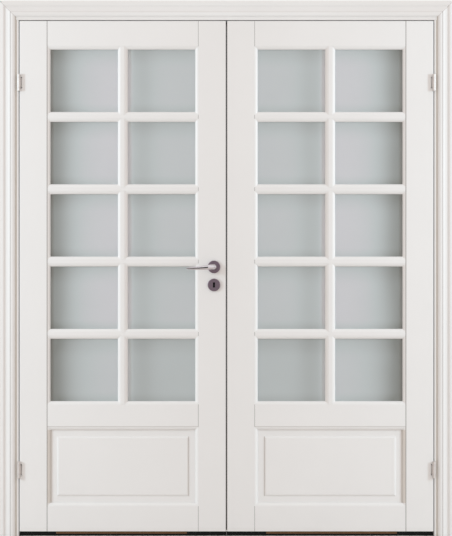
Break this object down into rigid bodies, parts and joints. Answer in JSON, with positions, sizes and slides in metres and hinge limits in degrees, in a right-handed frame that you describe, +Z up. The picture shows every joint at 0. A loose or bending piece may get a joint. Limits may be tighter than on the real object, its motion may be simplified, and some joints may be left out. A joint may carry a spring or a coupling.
{
  "type": "double glazed-panel french doors with frame",
  "caption": "Pair of white painted french doors with frosted glass over raised panels, hung in a moulded frame with casings, lever lock and flush bolts.",
  "frame": {"origin": "middle of the overall box in X and Y, at floor level", "axes": "+Z up along the height, +X to the right across the width, +Y from the front, where both leaves open to, towards the back"},
  "size_m": [1.814, 0.1641, 2.138],
  "materials": {
    "painted_wood": "satin white paint on wood",
    "painted_casing": "satin white paint on moulded wood",
    "frosted_glass": "frosted glass",
    "hinge_steel": "zinc plated steel",
    "satin_steel": "satin stainless steel",
    "polished_steel": "polished stainless steel",
    "lock_steel": "plated steel",
    "rubber_seal": "matt seal rubber"
  },
  "bodies": {
    "frame": {"left_jamb": "painted_wood", "right_jamb": "painted_wood", "head_jamb": "painted_wood", "head_bolt_keeper": "lock_steel", "frame_seals": "rubber_seal", "front_left_casing": "painted_casing", "front_right_casing": "painted_casing", "front_head_casing": "painted_casing", "back_left_casing": "painted_casing", "back_right_casing": "painted_casing", "back_head_casing": "painted_casing", "left_lower_frame_hinge": "hinge_steel", "left_upper_frame_hinge": "hinge_steel", "right_lower_frame_hinge": "hinge_steel", "right_upper_frame_hinge": "hinge_steel", "hinge_pins": "hinge_steel"},
    "left_leaf": {"left_hinge_stile": "painted_wood", "left_meeting_stile": "painted_wood", "left_top_rail": "painted_wood", "left_lock_rail": "painted_wood", "left_bottom_rail": "painted_wood", "left_cross_bar_1": "painted_wood", "left_cross_bar_2": "painted_wood", "left_cross_bar_3": "painted_wood", "left_cross_bar_4": "painted_wood", "left_upright_bars": "painted_wood", "left_raised_panel": "painted_wood", "left_glass_panes": "frosted_glass", "left_glazing_beads": "painted_wood", "left_lower_leaf_hinge": "hinge_steel", "left_upper_leaf_hinge": "hinge_steel", "lock_case": "lock_steel", "front_rose": "satin_steel", "back_rose": "satin_steel", "front_escutcheon": "satin_steel", "back_escutcheon": "satin_steel"},
    "right_leaf": {"right_hinge_stile": "painted_wood", "right_meeting_stile": "painted_wood", "right_top_rail": "painted_wood", "right_lock_rail": "painted_wood", "right_bottom_rail": "painted_wood", "right_cross_bar_1": "painted_wood", "right_cross_bar_2": "painted_wood", "right_cross_bar_3": "painted_wood", "right_cross_bar_4": "painted_wood", "right_upright_bars": "painted_wood", "right_raised_panel": "painted_wood", "right_glass_panes": "frosted_glass", "right_glazing_beads": "painted_wood", "right_lower_leaf_hinge": "hinge_steel", "right_upper_leaf_hinge": "hinge_steel", "strike_plate": "lock_steel", "flush_bolt_plates": "lock_steel"},
    "lever_set": {"front_lever": "polished_steel", "back_lever": "polished_steel", "lever_spindle": "lock_steel"},
    "latch": {"latch_bolt": "lock_steel"},
    "deadbolt": {"dead_bolt": "lock_steel"},
    "top_bolt": {"top_flush_bolt": "lock_steel"},
    "bottom_bolt": {"bottom_flush_bolt": "lock_steel"}
  },
  "joints": [
    {"name": "left_leaf_swing", "type": "hinge", "parent": "frame", "child": "left_leaf", "pos_m": [-0.829, -0.0295, 1.038], "axis": [0, 0, -1], "range_deg": [0, 170]},
    {"name": "right_leaf_swing", "type": "hinge", "parent": "frame", "child": "right_leaf", "pos_m": [0.829, -0.0295, 1.038], "axis": [0, 0, 1], "range_deg": [0, 170]},
    {"name": "lever_turn", "type": "hinge", "parent": "left_leaf", "child": "lever_set", "pos_m": [-0.05, -0.002, 1.075], "axis": [0, -1, 0], "range_deg": [0, 45], "stiffness_Nm_per_rad": 0.9, "springref_deg": -28.65},
    {"name": "latch_slide", "type": "slide", "parent": "left_leaf", "child": "latch", "axis": [1, 0, 0], "range_m": [0, 0.012], "stiffness_N_per_m": 80, "springref_m": -0.005},
    {"name": "dead_bolt_slide", "type": "slide", "parent": "left_leaf", "child": "deadbolt", "axis": [1, 0, 0], "range_m": [0, 0.018]},
    {"name": "top_flush_bolt_slide", "type": "slide", "parent": "right_leaf", "child": "top_bolt", "axis": [0, 0, 1], "range_m": [0, 0.018]},
    {"name": "bottom_flush_bolt_slide", "type": "slide", "parent": "right_leaf", "child": "bottom_bolt", "axis": [0, 0, -1], "range_m": [0, 0.03]}
  ]
}
